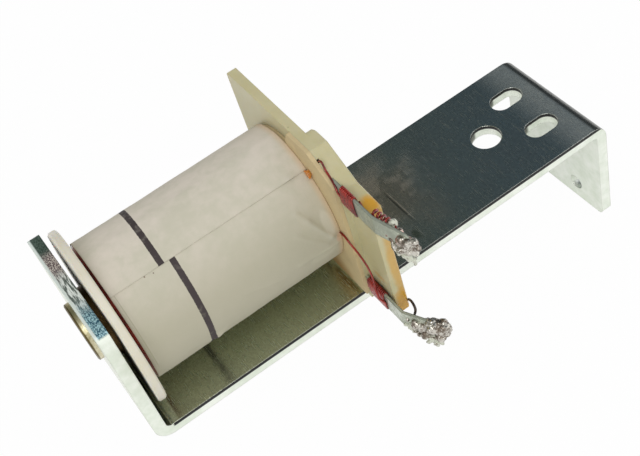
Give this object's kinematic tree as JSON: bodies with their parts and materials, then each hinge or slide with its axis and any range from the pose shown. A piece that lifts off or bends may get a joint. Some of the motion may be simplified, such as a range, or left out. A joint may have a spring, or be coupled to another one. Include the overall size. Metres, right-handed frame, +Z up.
{
  "type": "solenoid coil on mounting strip",
  "caption": "Wound solenoid coil with two solder lugs on a core plug that is riveted to a bent steel mounting strip with a slotted foot.",
  "frame": {"origin": "centre of the round locating hole, on the underside of the strip", "axes": "+X along the strip from the tab that holds the coil to the foot tab, +Z up out of the strip on the coil's side, lugs towards -Y"},
  "size_m": [0.1076, 0.0549, 0.0621],
  "materials": {
    "zinc_steel": "satin, scratched zinc plate",
    "plug_steel": "turned, slightly yellowed",
    "nylon": "yellowed moulded nylon",
    "guard_board": "thin pressed board",
    "sleeve_nylon": "plain moulded",
    "insulating_sheet": "varnished sheet",
    "enamelled_wire": "red enamelled copper",
    "paper": "aged cream paper",
    "tinned_brass": "dull tinned",
    "solder": "lumpy solder",
    "bare_wire": "blackened copper",
    "varnish": "clear orange"
  },
  "bodies": {
    "bracket": {"bracket": "zinc_steel", "core_plug": "plug_steel"},
    "coil": {"bobbin": "nylon", "lead_guard": "guard_board", "coil_sleeve": "sleeve_nylon", "barrel_sheet": "insulating_sheet", "winding": "enamelled_wire", "wrapper": "paper", "upper_lug": "tinned_brass", "lower_lug": "tinned_brass", "start_lead": "enamelled_wire", "finish_lead": "enamelled_wire", "upper_solder": "solder", "lower_solder": "solder", "wire_stub": "bare_wire", "varnish_drop": "varnish"}
  },
  "joints": [
    {"name": "coil_slide", "type": "slide", "parent": "bracket", "child": "coil", "axis": [1, 0, 0], "range_m": [-0.001, 0.013]}
  ]
}
